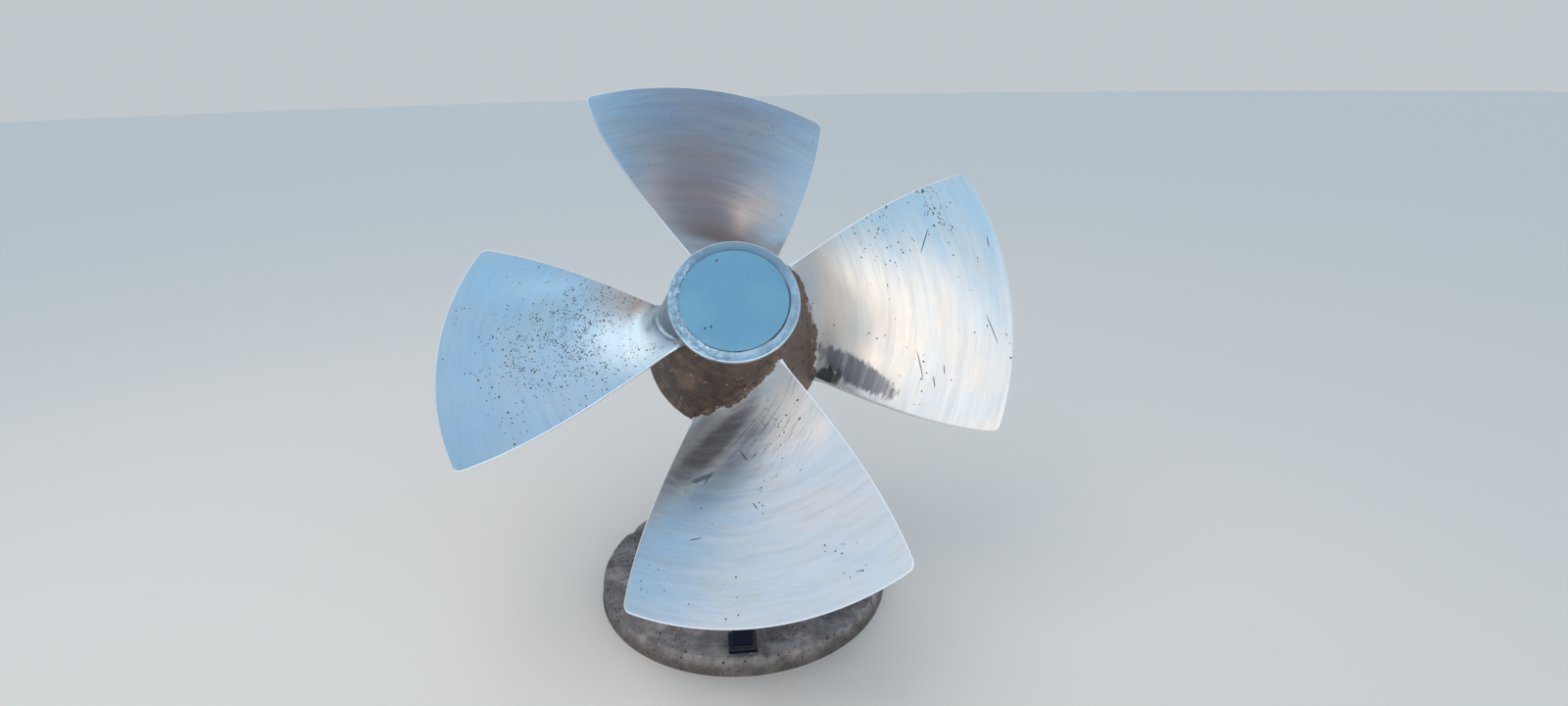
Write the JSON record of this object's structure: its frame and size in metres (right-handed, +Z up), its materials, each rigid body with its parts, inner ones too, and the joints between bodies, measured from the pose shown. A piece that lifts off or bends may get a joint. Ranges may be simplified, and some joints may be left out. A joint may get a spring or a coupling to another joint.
{
  "type": "ship propeller on a display stand",
  "caption": "Ship propeller with broad blades and a round front cover, leaning back on a steel post with a front strut and a round concrete footing.",
  "frame": {"origin": "centre of the concrete footing's underside", "axes": "+Z up, -Y towards the front of the propeller, +X to the right as seen from the front"},
  "size_m": [1.3996, 0.9992, 1.3549],
  "materials": {
    "blade_metal": "ground to a satin shine on the blades, rough and brown on the hub",
    "cover_metal": "satin, with a rounded bright rim",
    "plaque_metal": "smooth satin sheet, bare",
    "stand_paint": "dark semi-gloss paint",
    "pad_rubber": "matt",
    "footing_concrete": "rough pitted concrete"
  },
  "bodies": {
    "root": {"propeller_casting": "blade_metal", "front_cover": "cover_metal", "plaque": "plaque_metal", "head_plate": "stand_paint", "hub_spigot": "stand_paint", "head_gusset_front": "stand_paint", "head_gusset_rear": "stand_paint", "main_post": "stand_paint", "base_plate": "stand_paint", "base_gusset_front": "stand_paint", "base_gusset_rear": "stand_paint", "base_gusset_left": "stand_paint", "base_gusset_right": "stand_paint", "front_strut": "stand_paint", "strut_foot": "stand_paint", "strut_saddle": "stand_paint", "saddle_pad": "pad_rubber", "concrete_footing": "footing_concrete"}
  },
  "joints": []
}
